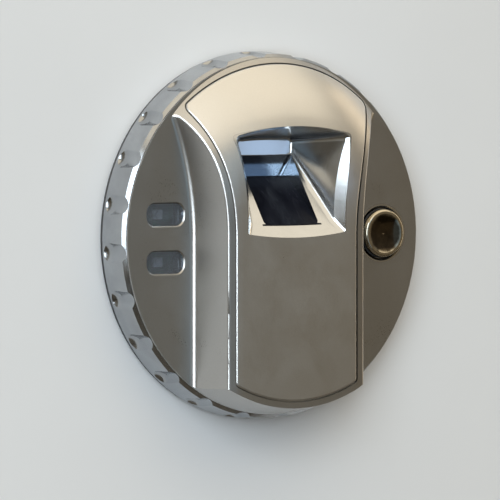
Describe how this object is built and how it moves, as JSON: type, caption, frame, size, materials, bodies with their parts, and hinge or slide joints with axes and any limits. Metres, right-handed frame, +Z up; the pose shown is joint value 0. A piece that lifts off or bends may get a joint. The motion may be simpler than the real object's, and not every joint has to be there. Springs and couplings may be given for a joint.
{
  "type": "fingerprint scanner terminal",
  "caption": "Round wall-mounted fingerprint reader with a raised bridge, a sloping sensor in a flared recess, status windows, a push button and a fluted locking ring.",
  "frame": {"origin": "centre of the wall plate, on the back of its gasket where the reader meets the wall", "axes": "+Y into the wall, the front faces -Y, +X to the right seen from the front, +Z up"},
  "size_m": [0.11, 0.0245, 0.11],
  "materials": {
    "rubber_seal": "matt black rubber",
    "black_steel": "black coated steel",
    "zinc_plate": "plated steel, satin",
    "ring_chrome": "polished chrome plate",
    "rear_plastic": "fine textured black plastic",
    "satin_nickel": "satin nickel, fine blasted",
    "satin_panel": "satin nickel, fine blasted",
    "polished_nickel": "polished nickel",
    "button_nickel": "polished dark nickel",
    "bezel_nickel": "polished nickel",
    "sensor_black": "black coated glass",
    "lens_smoke": "smoky clear plastic",
    "steel_parts": "bright steel",
    "board_green": "green solder mask",
    "chip_black": "moulded black epoxy",
    "plunger_plastic": "natural nylon",
    "flex_amber": "amber polyimide",
    "connector_plastic": "cream nylon",
    "led_body": "white housing with clear dome",
    "terminal_green": "green nylon",
    "relay_plastic": "dark blue moulded case",
    "buzzer_plastic": "black moulded can",
    "capacitor_sleeve": "dark shrink sleeve"
  },
  "bodies": {
    "housing": {"wall_gasket": "rubber_seal", "rear_cover_seal": "rubber_seal", "cable_grommet": "rubber_seal", "sensor_seal": "rubber_seal", "wall_plate": "black_steel", "sensor_clamp": "zinc_plate", "rear_cover": "rear_plastic", "light_shroud": "rear_plastic", "front_housing": "satin_nickel", "front_panel": "satin_panel", "finger_guide": "polished_nickel", "button_guide": "bezel_nickel", "sensor_glass": "sensor_black", "led_window_upper": "lens_smoke", "led_window_lower": "lens_smoke", "housing_screws": "steel_parts", "pcb_screws": "steel_parts", "sensor_clamp_screws": "steel_parts", "panel_clips": "steel_parts", "button_spring": "steel_parts", "terminal_screws": "steel_parts", "main_pcb": "board_green", "sensor_board": "board_green", "processor_chip": "chip_black", "memory_chip": "chip_black", "sensor_chip": "chip_black", "tamper_sensor": "chip_black", "button_switch": "chip_black", "sensor_flex": "flex_amber", "flex_connector": "connector_plastic", "status_led_upper": "led_body", "status_led_lower": "led_body", "terminal_block": "terminal_green", "relay": "relay_plastic", "buzzer": "buzzer_plastic", "capacitor": "capacitor_sleeve"},
    "locking_ring": {"fluted_ring": "ring_chrome"},
    "button": {"button_cap": "button_nickel", "button_o_ring": "rubber_seal", "button_clip": "steel_parts"},
    "plunger": {"switch_plunger": "plunger_plastic"}
  },
  "joints": [
    {"name": "ring_unlock", "type": "hinge", "parent": "housing", "child": "locking_ring", "pos_m": [0, 0, 0], "axis": [0, -1, 0], "range_deg": [0, 30]},
    {"name": "button_press", "type": "slide", "parent": "housing", "child": "button", "axis": [0, 1, 0], "range_m": [0, 0.0008], "stiffness_N_per_m": 900, "springref_m": -0.0012, "deforming": ["button_spring"]},
    {"name": "plunger_travel", "type": "slide", "parent": "housing", "child": "plunger", "axis": [0, 1, 0], "range_m": [0, 0.0008]}
  ],
  "couplings": [
    {"joint": "plunger_travel", "follows": "button_press", "ratio": 1}
  ]
}
